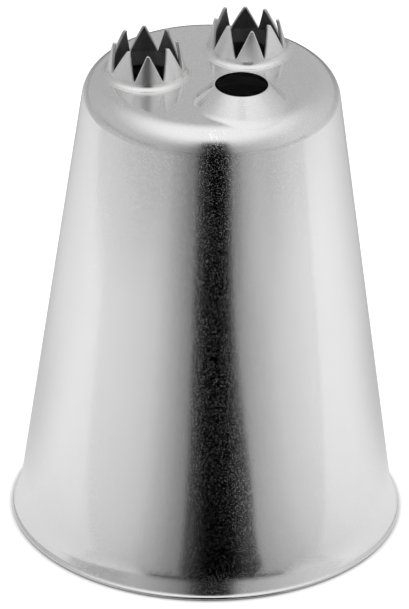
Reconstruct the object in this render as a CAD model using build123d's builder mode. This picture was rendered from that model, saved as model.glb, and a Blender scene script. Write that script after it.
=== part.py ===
from build123d import *
from math import atan2, cos, radians, sin, sqrt, tan
import os

# Multi-outlet piping nozzle in stainless steel.
#
# A drawn conical shell with a flat top plate carries three outlets on one
# pitch circle. The plain round outlet is drawn up out of the plate itself.
# The two star outlets are separate toothed tubes, set through pierced holes
# with a bead under the plate and held by a ring of silver braze.
#
# Millimetres. The origin is the centre of the rim on the table, +Z points up
# to the outlets, and the plain outlet lies towards -Y.

# Drawn shell
sheet = 0.5  # wall of the shell
wall_foot_diameter = 43.7  # where the straight wall would meet the table
plate_height = 56.2  # table to the top of the plate
shoulder_radius = 3.25  # outside radius from wall to plate
skirt_height = 3.2  # where the straight flare would leave the wall
skirt_flare = 0.69  # how far the flare stands out from the wall at the table
skirt_blend = 1.65  # reach of the bend from wall to flare, each way from their corner
rim_bevel = 0.12  # broken outer corner of the rim

# Layout of the outlets
outlet_count = 3
outlet_pitch_radius = 7.42  # axis of the nozzle to the axis of each outlet
outlet_margin = 6.93  # axis of an outlet to where the straight wall would meet the plate
plain_direction = -90.0  # degrees from +X

# Plain outlet
plain_bore = 6.0
plain_lip = 0.2  # width of the lip round the bore
plain_height = 2.3  # lip above the plate
plain_spread = 2.1  # how far the flank spreads from the lip down to the plate
plain_foot_radius = 1.0  # blend from flank to plate

# Star outlets
star_diameter = 8.86  # outside of the tube, up to the valleys
star_wall = 0.4
star_collar = 0.7  # plate to the valleys between the teeth
star_height = 4.03  # plate to the tips
star_lean_in = 0.88  # how far the tips lean in from the tube
star_bend = 0.6  # outside radius where the teeth lean in
star_tail = 0.5  # height of the bead on the tail
star_bead = 0.3  # how far the bead stands out
tooth_count = 8
tooth_turn = 22.5  # degrees from +X to the first tooth
tooth_tip = 0.42  # width of a tooth at its tip
tooth_tip_rounding = 0.14
notch_root_radius = 0.05  # bottom of the notch between two teeth

# Silver braze
braze_film = 0.1  # gap that the braze fills
braze_width = 0.85  # fillet out over the plate
braze_height = 0.62  # fillet up the tube
braze_edge = 0.05  # thickness of the fillet at its edge

overrun = 1.0  # cuts run this far past what they cut

# Wall and shoulder of the shell
wall_foot_radius = wall_foot_diameter / 2
wall_top_radius = outlet_pitch_radius + outlet_margin
wall_slope = (wall_foot_radius - wall_top_radius) / plate_height
wall_corner = radians(90) + atan2(wall_slope, 1)
flat_radius = wall_top_radius - shoulder_radius / tan(wall_corner / 2)

# Skirt of the shell, a straight flare that a bend joins to the wall
skirt_top_radius = wall_foot_radius - wall_slope * skirt_height
skirt_foot_radius = wall_foot_radius + skirt_flare
skirt_slope = (skirt_foot_radius - skirt_top_radius) / skirt_height
skirt_turn = atan2(skirt_slope, 1) - atan2(wall_slope, 1)
skirt_bend = skirt_blend / tan(skirt_turn / 2)

# Flank of the plain outlet, carried on below the plate to the shoulder's curve
plain_lip_radius = plain_bore / 2 + plain_lip
flank_angle = atan2(plain_height, plain_spread)
flank_depth = shoulder_radius * (1 - cos(flank_angle))
flank_foot_radius = plain_lip_radius + plain_spread + flank_depth / tan(flank_angle)

# Section of a star outlet
star_radius = star_diameter / 2
star_bore_radius = star_radius - star_wall
star_tip_radius = star_radius - star_lean_in
star_lean = atan2(star_lean_in, star_height - star_collar)
star_crease = star_collar - star_wall * tan(star_lean / 2)
star_blank_height = star_height + overrun
star_blank_radius = star_tip_radius - overrun * tan(star_lean)
star_blank_bore_radius = star_blank_radius - star_wall / cos(star_lean)
star_hole_radius = star_radius + braze_film
bead_radius = star_radius + star_bead

# Notch between two teeth, which opens level with the tips
tooth_pitch = 360 / tooth_count
tip_half_angle = tooth_tip / 2 / star_tip_radius
notch_half_width = star_tip_radius * sin(radians(tooth_pitch / 2) - tip_half_angle)
notch_top = star_blank_height + overrun


def shoulder_drop(radius, reach):
    """How far a shoulder of this radius lies below its plate at a reach from the axis."""
    return radius - sqrt(radius**2 - max(0, reach - flat_radius) ** 2)


# Heights under the plate, clear of the curve inside the shoulder
bead_reach = outlet_pitch_radius + bead_radius
bead_top = -sheet - braze_film - shoulder_drop(shoulder_radius - sheet, bead_reach)
bead_foot = bead_top - star_tail

# Edge of the braze, sunk half-way into the sheet and then trimmed by it
ring_radius = star_radius + braze_width
ring_foot = -(sheet + shoulder_drop(shoulder_radius, outlet_pitch_radius + ring_radius)) / 2


def outlet_centre(index):
    """Where the axis of an outlet meets the top of the plate."""
    direction = radians(plain_direction + index * 360 / outlet_count)
    x = outlet_pitch_radius * cos(direction)
    y = outlet_pitch_radius * sin(direction)
    return Vector(x, y, plate_height)


def section_plane(centre):
    """Upright plane through an outlet's axis, with its origin on top of the plate."""
    return Plane(origin=centre, x_dir=(1, 0, 0), z_dir=(0, -1, 0))


def notch_planes(centre):
    """One upright plane for each valley, square to the direction of its notch."""
    planes = []
    for valley in range(tooth_count):
        direction = radians(tooth_turn + (valley + 0.5) * tooth_pitch)
        outward = Vector(cos(direction), sin(direction), 0)
        sideways = outward.cross(Vector(0, 0, -1))
        planes.append(Plane(origin=centre, x_dir=sideways, z_dir=outward))
    return planes


plain_centre = outlet_centre(0)
star_places = zip(("right", "left"), range(1, outlet_count))
star_centres = {side: outlet_centre(index) for side, index in star_places}

# Shell: one drawn sheet, from the flared rim to the lip of the plain outlet
with BuildPart() as nozzle_shell:
    with BuildSketch(Plane.XZ):
        with BuildLine():
            wall = FilletPolyline(
                (wall_top_radius, plate_height),
                (skirt_top_radius, skirt_height),
                (skirt_foot_radius, 0),
                radius=skirt_bend,
            )
            Polyline(wall @ 1, (0, 0), (0, plate_height), wall @ 0)
        make_face()
    revolve(axis=Axis.Z)
    shoulder = nozzle_shell.edges().filter_by(GeomType.CIRCLE).sort_by(Axis.Z)[-1]
    fillet(shoulder, radius=shoulder_radius)

    with Locations(plain_centre - Vector(0, 0, flank_depth)):
        Cone(
            bottom_radius=flank_foot_radius,
            top_radius=plain_lip_radius,
            height=flank_depth + plain_height,
            align=(Align.CENTER, Align.CENTER, Align.MIN),
        )
    lip_height = plate_height + plain_height
    cone_edges = nozzle_shell.edges(Select.LAST)
    foot_edges = [edge for edge in cone_edges if edge.bounding_box().max.Z < lip_height]
    fillet(foot_edges, radius=plain_foot_radius)

    open_end = nozzle_shell.faces().sort_by(Axis.Z)[0]
    offset(amount=-sheet, openings=open_end)
    with Locations(*star_centres.values()):
        Hole(radius=star_hole_radius)
    with Locations(plain_centre + Vector(0, 0, plain_height)):
        Hole(radius=plain_bore / 2)

    rim_face = nozzle_shell.faces().sort_by(Axis.Z)[0]
    chamfer(rim_face.edges().sort_by(SortBy.RADIUS)[-1], length=rim_bevel)


def make_star_outlet(centre):
    """A tube with a bead on its tail, cut into a crown of teeth that lean in."""
    with BuildPart() as star_outlet:
        with BuildSketch(section_plane(centre)):
            with BuildLine():
                outside = FilletPolyline(
                    (star_radius, bead_top),
                    (star_radius, star_collar),
                    (star_blank_radius, star_blank_height),
                    radius=star_bend,
                )
                inside = FilletPolyline(
                    (star_bore_radius, bead_foot),
                    (star_bore_radius, star_crease),
                    (star_blank_bore_radius, star_blank_height),
                    radius=star_bend - star_wall,
                )
                Line(outside @ 1, inside @ 1)
                Polyline(outside @ 0, (bead_radius, bead_top), (bead_radius, bead_foot), inside @ 0)
            make_face()
        revolve(axis=Axis(centre, (0, 0, 1)))

        for notch_plane in notch_planes(centre):
            with BuildSketch(notch_plane):
                with BuildLine():
                    notch = FilletPolyline(
                        (-star_radius, star_height),
                        (-notch_half_width, star_height),
                        (0, star_collar),
                        (notch_half_width, star_height),
                        (star_radius, star_height),
                        radius=[tooth_tip_rounding, notch_root_radius, tooth_tip_rounding],
                    )
                    Polyline(notch @ 0, (-star_radius, notch_top), (star_radius, notch_top), notch @ 1)
                make_face()
            extrude(amount=star_radius + overrun, mode=Mode.SUBTRACT)
    return star_outlet


def make_braze_ring(centre):
    """Braze in the gap round a tube, standing as a fillet on the plate."""
    with BuildPart() as braze_ring:
        with BuildSketch(section_plane(centre)):
            with BuildLine():
                Polyline(
                    (star_radius, braze_height),
                    (ring_radius, braze_edge),
                    (ring_radius, ring_foot),
                    (bead_radius, ring_foot),
                    (bead_radius, bead_top),
                    (star_radius, bead_top),
                    close=True,
                )
            make_face()
        revolve(axis=Axis(centre, (0, 0, 1)))
        add(nozzle_shell.part, mode=Mode.SUBTRACT)
    return braze_ring


os.makedirs("parts", exist_ok=True)

nozzle_shell.part.label = "nozzle_shell"
export_step(nozzle_shell.part, "parts/nozzle_shell.step")

for side, centre in star_centres.items():
    star_outlet = make_star_outlet(centre)
    star_outlet.part.label = f"star_outlet_{side}"
    export_step(star_outlet.part, f"parts/star_outlet_{side}.step")

    braze_ring = make_braze_ring(centre)
    braze_ring.part.label = f"braze_ring_{side}"
    export_step(braze_ring.part, f"parts/braze_ring_{side}.step")
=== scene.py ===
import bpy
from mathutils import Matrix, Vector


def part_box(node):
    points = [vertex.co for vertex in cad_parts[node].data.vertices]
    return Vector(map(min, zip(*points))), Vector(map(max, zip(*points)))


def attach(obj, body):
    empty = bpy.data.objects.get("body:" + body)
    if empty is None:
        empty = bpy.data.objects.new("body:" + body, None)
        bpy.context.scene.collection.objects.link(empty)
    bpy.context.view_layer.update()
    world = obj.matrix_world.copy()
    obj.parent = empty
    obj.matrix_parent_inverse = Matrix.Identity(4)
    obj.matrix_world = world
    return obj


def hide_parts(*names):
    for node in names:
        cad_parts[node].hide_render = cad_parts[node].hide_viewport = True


bl_info = {
    "name": "Piping Nozzle",
    "version": (1, 0, 0),
    "blender": (4, 5, 0),
    "location": "View3D > Sidebar > Nozzle",
    "description": "Multi-outlet piping nozzle in stainless steel, with its studio",
    "category": "Add Mesh",
}

from math import asin, atan2, cos, degrees, hypot, radians, sin, sqrt, tan
from types import SimpleNamespace

import bpy
import numpy as np
from bpy.props import FloatProperty, FloatVectorProperty, IntProperty, PointerProperty
from mathutils import Matrix, Vector, noise
from mathutils.geometry import delaunay_2d_cdt

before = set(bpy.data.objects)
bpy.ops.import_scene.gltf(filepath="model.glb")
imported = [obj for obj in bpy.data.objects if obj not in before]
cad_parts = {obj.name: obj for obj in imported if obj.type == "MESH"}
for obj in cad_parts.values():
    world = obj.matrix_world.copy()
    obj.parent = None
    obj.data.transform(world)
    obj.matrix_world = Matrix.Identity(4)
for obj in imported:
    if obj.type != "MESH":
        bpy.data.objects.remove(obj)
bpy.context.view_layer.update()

MM = 0.001
SIDES = ("left", "right")
_, SHELL_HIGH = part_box("nozzle_shell")
STAR_LOW, STAR_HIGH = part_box("star_outlet_right")
STAR_CENTRE = (STAR_LOW + STAR_HIGH) / 2 / MM
LIP_HEIGHT = 2.3
PLATE_HEIGHT = SHELL_HIGH.z / MM - LIP_HEIGHT
PITCH_RADIUS = hypot(STAR_CENTRE.x, STAR_CENTRE.y)


# Sizes and colours that a user would change


def length(name, description, millimetres):
    """A length property whose default is given in millimetres."""
    return FloatProperty(name=name, description=description, default=millimetres * MM, precision=6, unit="LENGTH")


def angle(name, description, turn):
    """An angle property whose default is given in degrees."""
    return FloatProperty(name=name, description=description, default=radians(turn), unit="ROTATION")


def share(name, description, value):
    """A property between nought and one."""
    return FloatProperty(name=name, description=description, default=value, min=0.0, max=1.0, subtype="FACTOR")


def seed(name, description, value):
    """A whole number that fixes what is random."""
    return IntProperty(name=name, description=description, default=value)


def grey(name, description, value):
    """A colour property."""
    return FloatVectorProperty(
        name=name, description=description, default=value, min=0.0, max=1.0, size=3, subtype="COLOR"
    )


class ShellSizes(bpy.types.PropertyGroup):
    sheet: length("Sheet", "Thickness of the drawn sheet", 0.5)
    rim_radius: length("Rim radius", "Where the flare would meet the table without its curled edge", 22.449)
    rim_rounding: length("Rim rounding", "Rounded outer corner of the rim", 0.272)
    wall_foot_radius: length("Wall foot radius", "Where the straight wall would meet the table", 21.85)
    wall_top_radius: length("Wall top radius", "Where the straight wall would meet the plate", 14.35)
    skirt_height: length("Skirt height", "Where the flare would leave the wall without its bend", 2.6)
    skirt_blend: length("Skirt blend", "Reach of the bend from wall to flare", 1.1)
    curl_height: length("Curl height", "Where the edge curls out of the flare", 0.62)
    curl_lean: angle("Curl lean", "Lean of the curled edge from upright", 50.0)
    curl_bend: length("Curl bend", "Radius of the bend into the curled edge", 0.7)
    plate_height: length("Plate height", "Table to the top of the plate", PLATE_HEIGHT)
    shoulder_radius: length("Shoulder radius", "Outside radius from wall to plate", 3.25)
    pitch_radius: length("Pitch radius", "Axis of the nozzle to the axis of each outlet", PITCH_RADIUS)
    bore_radius: length("Bore radius", "Bore of the plain outlet", 3.0)
    lip: length("Lip", "Width of the lip round the bore", 0.2)
    lip_height: length("Lip height", "Lip above the plate", LIP_HEIGHT)
    flank_spread: length("Flank spread", "How far the flank spreads down to the plate", 2.1)
    flank_blend: length("Flank blend", "Depth over which the flank runs into the plate", 0.42)
    hole_radius: length("Hole radius", "Pierced holes for the star outlets", 4.53)


class CrownSizes(bpy.types.PropertyGroup):
    tooth_count: IntProperty(name="Teeth", description="Teeth on one crown", default=8, min=3)
    first_tooth: angle("First tooth", "Direction of the first tooth from +X", 22.5)
    radius: length("Radius", "Outside of the tube", 4.43)
    wall: length("Wall", "Wall of the tube", 0.4)
    collar: length("Collar", "Plate to the sharp valleys", 0.7)
    height: length("Height", "Plate to the tips", 4.03)
    lean_in: length("Lean in", "How far the tips lean in", 0.88)
    bend: length("Bend", "Outside radius where the teeth lean in", 0.6)
    tip_width: length("Tip width", "Width of a tooth at its tip", 0.42)
    tip_rounding: length("Tip rounding", "Rounded corners of a tip", 0.14)
    valley_rounding: length("Valley rounding", "Rounded bottom of a notch", 0.05)
    tip_blunting: length("Tip blunting", "Worn top of a tip", 0.13)
    edge_rounding: length("Edge rounding", "Worn edges of a tooth", 0.13)
    bead: length("Bead", "How far the bead under the plate stands out", 0.3)
    bead_top: length("Bead top", "Plate down to the bead", 0.677)
    bead_foot: length("Bead foot", "Plate down to the tail's end", 1.177)


def uneven_teeth(lean, lean_spread, lean_seed, side, side_spread, side_seed, drop_spread, drop_seed):
    """Properties that say how unevenly the teeth of one crown stand."""
    return {
        "lean": length("Lean", "How far out the tips lean on the whole", lean),
        "lean_spread": length("Lean spread", "How unevenly the tips lean", lean_spread),
        "lean_seed": seed("Lean seed", "Seed of the lean", lean_seed),
        "side": length("Side", "How far the tips are turned round the crown on the whole", side),
        "side_spread": length("Side spread", "How unevenly the tips stand round the crown", side_spread),
        "side_seed": seed("Side seed", "Seed of the side", side_seed),
        "drop_spread": length("Drop spread", "How much lower the shortest tooth ends", drop_spread),
        "drop_seed": seed("Drop seed", "Seed of the drop", drop_seed),
    }


class LeftTeeth(bpy.types.PropertyGroup):
    __annotations__ = uneven_teeth(
        lean=0.061,
        lean_spread=0.414,
        lean_seed=41956,
        side=0.053,
        side_spread=0.422,
        side_seed=31551,
        drop_spread=0.081,
        drop_seed=41418,
    )


class RightTeeth(bpy.types.PropertyGroup):
    __annotations__ = uneven_teeth(
        lean=-0.217,
        lean_spread=0.564,
        lean_seed=795,
        side=-0.009,
        side_spread=0.403,
        side_seed=22214,
        drop_spread=0.098,
        drop_seed=25004,
    )


class BrazeSizes(bpy.types.PropertyGroup):
    width: length("Width", "Fillet out over the plate", 0.8)
    height: length("Height", "Fillet up the tube", 0.65)
    uneven: length("Unevenness", "How much the fillet's width and height vary", 0.06)


class Finishes(bpy.types.PropertyGroup):
    shell_colour: grey("Shell colour", "Colour of the drawn steel", (0.8, 0.8, 0.8))
    shell_roughness: share("Shell roughness", "Polish of the drawn steel", 0.12)
    crown_colour: grey("Crown colour", "Colour of the toothed outlets", (0.76, 0.76, 0.76))
    crown_roughness: share("Crown roughness", "Polish of the toothed outlets", 0.34)
    braze_colour: grey("Braze colour", "Colour of the silver braze", (0.79, 0.79, 0.785))
    braze_roughness: share("Braze roughness", "Polish of the silver braze", 0.26)


class StudioSettings(bpy.types.PropertyGroup):
    azimuth: angle("Azimuth", "Turn of the camera from the plain outlet's side", -27.25)
    elevation: angle("Elevation", "Camera above the horizon", 29.21)
    roll: angle("Roll", "Camera turned about its own axis", 0.789)
    distance: length("Distance", "Camera to the point that it looks at", 1026.9)
    lens: FloatProperty(name="Lens", description="Focal length on a 36 mm high frame, in millimetres", default=527.6)
    aim_height: length("Aim height", "Height of the point that the camera looks at", 26.3)
    aim_side: length("Aim side", "How far the camera stands to the right", -0.4407)
    floor_colour: grey("Floor colour", "Colour of the pale floor", (0.9, 0.9, 0.9))
    floor_glow: share("Floor glow", "Light of the lit floor that camera and mirrors see", 0.5)


GROUPS = {
    "nozzle_shell": ShellSizes,
    "nozzle_crowns": CrownSizes,
    "nozzle_left_teeth": LeftTeeth,
    "nozzle_right_teeth": RightTeeth,
    "nozzle_braze": BrazeSizes,
    "nozzle_finishes": Finishes,
    "nozzle_studio": StudioSettings,
}


def own_properties(group):
    """The properties of a group without the two that every group has."""
    return [prop for prop in group.bl_rna.properties if prop.identifier not in ("name", "rna_type")]


def in_millimetres(group):
    """The lengths of a property group by name, in millimetres, and its other values as they are."""
    values = {}
    for prop in own_properties(group):
        value = getattr(group, prop.identifier)
        values[prop.identifier] = value / MM if getattr(prop, "unit", "") == "LENGTH" else value
    return SimpleNamespace(**values)


# Outlines


def unit(vector):
    return vector / np.linalg.norm(vector)


def right_of(direction):
    """Unit vector to the right of a direction in the plane of an outline."""
    return unit(np.array([direction[1], -direction[0]]))


def rounded_outline(corners, radii, steps):
    """Points and right-hand normals along an outline whose inner corners are rounded."""
    corners = [np.array(corner, float) for corner in corners]
    points = [corners[0]]
    normals = [right_of(corners[1] - corners[0])]
    for before, corner, after, radius, count in zip(corners, corners[1:], corners[2:], radii, steps):
        into = unit(corner - before)
        out = unit(after - corner)
        turn = atan2(into[0] * out[1] - into[1] * out[0], into @ out)
        side = 1 if turn > 0 else -1
        start = corner - into * radius * tan(abs(turn) / 2)
        centre = start - side * radius * right_of(into)
        for step in range(count + 1):
            swing = turn * step / count
            normal = right_of(
                (into[0] * cos(swing) - into[1] * sin(swing), into[0] * sin(swing) + into[1] * cos(swing))
            )
            points.append(centre + side * radius * normal)
            normals.append(normal)
    points.append(corners[-1])
    normals.append(right_of(corners[-1] - corners[-2]))
    return np.array(points), np.array(normals)


def with_steps(points, normals, longest):
    """The same outline with its long straight stretches divided."""
    new_points, new_normals = [points[0]], [normals[0]]
    for start, end, first, last in zip(points, points[1:], normals, normals[1:]):
        count = max(1, int(np.ceil(np.linalg.norm(end - start) / longest)))
        for step in range(1, count + 1):
            part = step / count
            new_points.append(start + (end - start) * part)
            new_normals.append(unit(first + (last - first) * part))
    return np.array(new_points), np.array(new_normals)


def bend_points(start, corner, end, count=3):
    """Points that run round a corner from start to end."""
    parts = [step / count for step in range(count + 1)]
    return [(1 - part) ** 2 * start + 2 * part * (1 - part) * corner + part**2 * end for part in parts]


def turned(outline, angles):
    """An outline of radius and height swept round Z, one row for each of its points."""
    rows = [np.stack([x * np.cos(angles), x * np.sin(angles), np.full(len(angles), z)], axis=1) for x, z in outline]
    return np.array(rows)


def full_turn(count):
    """Evenly spaced angles all round."""
    return np.arange(count) * 2 * np.pi / count


# Meshes


def grid_faces(rows, columns, closed_rows=False, closed_columns=False, start=0):
    """Quads between the numbered points of a grid, which may close along its rows or its columns."""
    faces = []
    for row in range(rows if closed_rows else rows - 1):
        for column in range(columns if closed_columns else columns - 1):
            corners = ((row, column), (row, column + 1), (row + 1, column + 1), (row + 1, column))
            faces.append([start + down % rows * columns + across % columns for down, across in corners])
    return faces


def weld(points):
    """The places among points that differ, and the number of each point's place."""
    places, numbers = np.unique(np.round(points, 5), axis=0, return_inverse=True)
    return places, numbers.reshape(-1)


class Skin:
    """Faces with a normal at each corner, joined into one closed mesh."""

    def __init__(self):
        self.faces = []

    def patch(self, points, normals, faces):
        """Faces between listed points, each turned to agree with its normals."""
        for face in faces:
            corners, pointing = points[face], normals[face]
            across = np.cross(corners[1] - corners[0], corners[2] - corners[0])
            if len(face) == 4:
                across = across + np.cross(corners[2] - corners[0], corners[3] - corners[0])
            if across @ pointing.sum(axis=0) < 0:
                corners, pointing = corners[::-1], pointing[::-1]
            self.faces.append((corners, pointing))

    def grid(self, points, normals):
        """Quads between the rows of a grid whose rows run all round."""
        quads = grid_faces(*points.shape[:2], closed_columns=True)
        self.patch(points.reshape(-1, 3), normals.reshape(-1, 3), np.array(quads))

    def mesh(self, name):
        """The welded mesh in metres, with its normals. An open or doubled edge is an error."""
        places, welded = weld(np.concatenate([points for points, _ in self.faces]))
        faces, normals, edges = [], [], {}
        start = 0
        for points, pointing in self.faces:
            numbers = welded[start : start + len(points)]
            start += len(points)
            kept = [i for i in range(len(numbers)) if numbers[i] != numbers[i - 1]]
            if len(kept) < 3:
                continue
            face = [int(numbers[i]) for i in kept]
            faces.append(face)
            normals.extend(pointing[i] for i in kept)
            for edge in zip(face, face[1:] + face[:1]):
                edges[edge] = edges.get(edge, 0) + 1
        wrong = [edge for edge, count in edges.items() if count != 1 or edge[::-1] not in edges]
        if wrong:
            raise RuntimeError(f"{name} is not closed: {len(wrong)} edges, one at {places[wrong[0][0]]}")
        mesh = bpy.data.meshes.new(name)
        mesh.from_pydata(places * MM, [], faces)
        mesh.shade_smooth()
        mesh.normals_split_custom_set([Vector(normal).normalized() for normal in normals])
        return mesh


def weigh_normals(mesh):
    """Turns the faces outwards and weighs the normals by area, so broad faces stay flat to their edges."""
    volume = 0.0
    for face in mesh.polygons:
        corners = [mesh.vertices[number].co for number in face.vertices]
        volume += sum(corners[0].dot(second.cross(third)) for second, third in zip(corners[1:], corners[2:]))
    if volume < 0:
        mesh.flip_normals()
    totals = np.zeros((len(mesh.vertices), 3))
    for face in mesh.polygons:
        for number in face.vertices:
            totals[number] += np.array(face.normal) * face.area
    mesh.shade_smooth()
    mesh.normals_split_custom_set_from_vertices([Vector(total).normalized() for total in totals])


def placed(name, data):
    """A new object at the origin that shows a mesh, or a camera."""
    made = bpy.data.objects.new(name, data)
    bpy.context.scene.collection.objects.link(made)
    return made


def finished(name, mesh, material, node):
    """The mesh as a piece of the nozzle, in place of its CAD node."""
    piece = placed(name, mesh)
    mesh.materials.clear()
    mesh.materials.append(material)
    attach(piece, "root")
    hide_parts(node)


# Nodes


class Tree:
    """A node tree that is written as expressions."""

    def __init__(self, tree):
        self.tree = tree
        tree.nodes.clear()

    def node(self, kind, settings=None, sockets=None, output=0):
        """Adds a node, sets its settings, then its sockets, and gives one of its outputs."""
        made = self.tree.nodes.new(kind)
        for name, value in (settings or {}).items():
            if name == "stops":
                self.stops(made.color_ramp, value)
            else:
                setattr(made, name, value)
        for name, value in (sockets or {}).items():
            if isinstance(value, Wire):
                self.tree.links.new(value.socket, made.inputs[name])
            else:
                made.inputs[name].default_value = value
        return Wire(self, made.outputs[output]) if len(made.outputs) else made

    def stops(self, ramp, stops):
        """Grey stops of a ramp, each a place and a brightness."""
        while len(ramp.elements) > 1:
            ramp.elements.remove(ramp.elements[-1])
        for number, (place, value) in enumerate(stops):
            element = ramp.elements[0] if number == 0 else ramp.elements.new(place)
            element.position = place
            element.color = (value, value, value, 1)

    def between(self, wire, low, high, start=0.0, end=1.0):
        """A soft step from start to end while the value goes from low to high."""
        return self.node(
            "ShaderNodeMapRange",
            {"interpolation_type": "SMOOTHSTEP"},
            {"Value": wire, "From Min": low, "From Max": high, "To Min": start, "To Max": end},
        )

    def vector(self, x, y, z):
        return self.node("ShaderNodeCombineXYZ", None, {"X": x, "Y": y, "Z": z})

    def vector_math(self, operation, first, second, output=0):
        return self.node("ShaderNodeVectorMath", {"operation": operation}, {0: first, 1: second}, output)

    def parts(self, wire):
        """The X, Y and Z of a vector."""
        x = self.node("ShaderNodeSeparateXYZ", None, {"Vector": wire})
        outputs = x.socket.node.outputs
        return Wire(self, outputs[0]), Wire(self, outputs[1]), Wire(self, outputs[2])


class Wire:
    """A socket that takes part in expressions, each of which adds its Math node."""

    def __init__(self, tree, socket):
        self.tree = tree
        self.socket = socket

    def math(self, operation, *values):
        return self.tree.node("ShaderNodeMath", {"operation": operation}, dict(enumerate(values)))

    def __add__(self, other):
        return self.math("ADD", self, other)

    def __radd__(self, other):
        return self.math("ADD", other, self)

    def __sub__(self, other):
        return self.math("SUBTRACT", self, other)

    def __rsub__(self, other):
        return self.math("SUBTRACT", other, self)

    def __mul__(self, other):
        return self.math("MULTIPLY", self, other)

    def __rmul__(self, other):
        return self.math("MULTIPLY", other, self)

    def __truediv__(self, other):
        return self.math("DIVIDE", self, other)

    def __rtruediv__(self, other):
        return self.math("DIVIDE", other, self)

    def highest(self, other):
        return self.math("MAXIMUM", self, other)

    def output(self, name):
        """Another output of the same node."""
        return Wire(self.tree, self.socket.node.outputs[name])


# Finishes

MEAN_RADIUS = 18  # of the cone, for patterns that run round it
BRUSHED_TURN = 0.25  # turn of the brushed gloss, so that it runs round a tube
SCUFF_PLACE = (-5.69, -12.25, 55.5)  # handling marks on the shoulder under the plain outlet


def new_material(name):
    """An empty material and its tree."""
    material = bpy.data.materials.new(name)
    material.use_nodes = True
    return material, Tree(material.node_tree)


def steel(name, colour, roughness, build, brushed=0.0):
    """A metal whose colour, roughness, bump and dull share come from build, a function of its tree."""
    material, tree = new_material(name)
    place = tree.node("ShaderNodeTexCoord", None, None, "Object")
    place = tree.vector_math("MULTIPLY", place, (1 / MM, 1 / MM, 1 / MM))
    tone, polish, height, dull = build(tree, place)
    bump = tree.node("ShaderNodeBump", None, {"Strength": 1.0, "Distance": MM, "Height": height})
    shade = tree.node(
        "ShaderNodeMix",
        {"data_type": "RGBA", "blend_type": "MULTIPLY"},
        {"Factor": 1.0, "A": (*colour, 1), "B": tone},
        "Result",
    )
    surface = tree.node(
        "ShaderNodeBsdfPrincipled",
        None,
        {
            "Base Color": shade,
            "Metallic": 1.0 - dull,
            "Roughness": polish * roughness,
            "Normal": bump,
            "Anisotropic": brushed,
            "Anisotropic Rotation": BRUSHED_TURN,
        },
    )
    tree.node("ShaderNodeOutputMaterial", None, {"Surface": surface})
    return material


def cloud(tree, place, scale, detail=2.0, stretch=(1, 1, 1)):
    """Noise between nought and one, whose cells measure about 1 / scale millimetres."""
    if stretch != (1, 1, 1):
        place = tree.vector_math("MULTIPLY", place, stretch)
    return tree.node(
        "ShaderNodeTexNoise", {"noise_dimensions": "3D"}, {"Vector": place, "Scale": scale, "Detail": detail}
    )


def unrolled(tree, place):
    """The place on the cone as length round it, height and nothing."""
    x, y, z = tree.parts(place)
    return tree.vector(x.math("ARCTAN2", y, x) * MEAN_RADIUS, z, 0.0)


def facing(tree, x, y, z):
    """How far the surface faces along a direction, from -1 to 1."""
    normal = tree.node("ShaderNodeNewGeometry").output("Normal")
    return tree.vector_math("DOT_PRODUCT", normal, tree.vector(x, y, z), "Value")


def all_over(tone):
    """The same tone in red, green and blue."""
    return tone.tree.vector(tone, tone, tone)


def drawn_finish(tree, place):
    """Bright drawn sheet: fine grain, raised specks, hairline scratches and a slow waviness, with painted shade on the
    faces that look down into the cavity.
    """
    inside = tree.between(facing(tree, 0.0, 0.0, 1.0), -0.1, 0.0, 1.0, 0.0)
    flat = unrolled(tree, place)
    specks = tree.between(cloud(tree, place, 7.5, 2), 0.57, 0.68)
    grain = cloud(tree, flat, 1.0, 2, (2.2, 5.5, 1))
    patches = cloud(tree, place, 0.16, 3)
    up_lines = tree.between(cloud(tree, flat, 1.0, 2, (6.0, 0.12, 1)), 0.66, 0.74)
    round_lines = tree.between(cloud(tree, flat, 1.0, 2, (0.1, 7.0, 1)), 0.69, 0.76)
    lines = up_lines.highest(round_lines)
    # The faces that look down (inside) get 0.3 less tone as painted shade of the cavity; they are also rougher.
    tone = 0.93 + 0.05 * patches + 0.14 * specks - 0.3 * inside
    polish = 0.75 + 0.5 * patches + 0.4 * specks + 0.2 * lines + 0.2 * grain + 1.5 * inside
    height = 0.0016 * cloud(tree, place, 0.2, 1) + 0.0002 * grain + 0.0042 * specks - 0.0001 * lines

    reach = tree.vector_math("DISTANCE", place, SCUFF_PLACE, "Value")
    scuffs = tree.between(reach, 1.5, 0.4) * tree.between(cloud(tree, place, 1.0, 2, (5.0, 2.0, 1.2)), 0.54, 0.64)
    return all_over(tone + 0.14 * scuffs), polish, height + 0.004 * scuffs, 0.005 * specks


def tooth_finish(tree, place):
    """Satin steel with fine turning marks round the tube and a few nicks, with painted shade on the faces inside the
    tube.
    """
    x, y, _ = tree.parts(place)
    from_axis = tree.vector(x - x.math("SIGN", x) * STAR_CENTRE.x, y - STAR_CENTRE.y, 0.0)
    out_x, out_y, _ = tree.parts(tree.node("ShaderNodeVectorMath", {"operation": "NORMALIZE"}, {0: from_axis}))
    inside = tree.between(facing(tree, out_x, out_y, 0.0), -0.3, 0.1, 1.0, 0.0)
    marks = cloud(tree, place, 1.0, 3, (1.6, 1.6, 9.0))
    nicks = tree.between(cloud(tree, place, 3.2, 3), 0.6, 0.74)
    # The faces inside the tube (inside) get 0.35 less tone as painted shade of the bore.
    tone = 0.98 + 0.08 * marks - 0.14 * nicks - 0.35 * inside
    polish = 0.8 + 0.4 * marks + 0.5 * nicks
    height = 0.006 * marks + 0.03 * cloud(tree, place, 0.9, 2) - 0.004 * nicks
    return all_over(tone), polish, height, 0.0


def braze_finish(tree, place):
    """Silver braze that has run unevenly, with small pores and a faint bloom."""
    flow = cloud(tree, place, 1.6, 3)
    pores = tree.between(cloud(tree, place, 3.0, 2), 0.66, 0.76)
    tone = 0.92 + 0.1 * flow - 0.15 * pores
    polish = 0.7 + 0.6 * flow + 0.4 * pores
    height = 0.03 * cloud(tree, place, 0.7, 1) + 0.006 * flow - 0.002 * pores
    return all_over(tone), polish, height, 0.0


# Drawn shell

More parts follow.
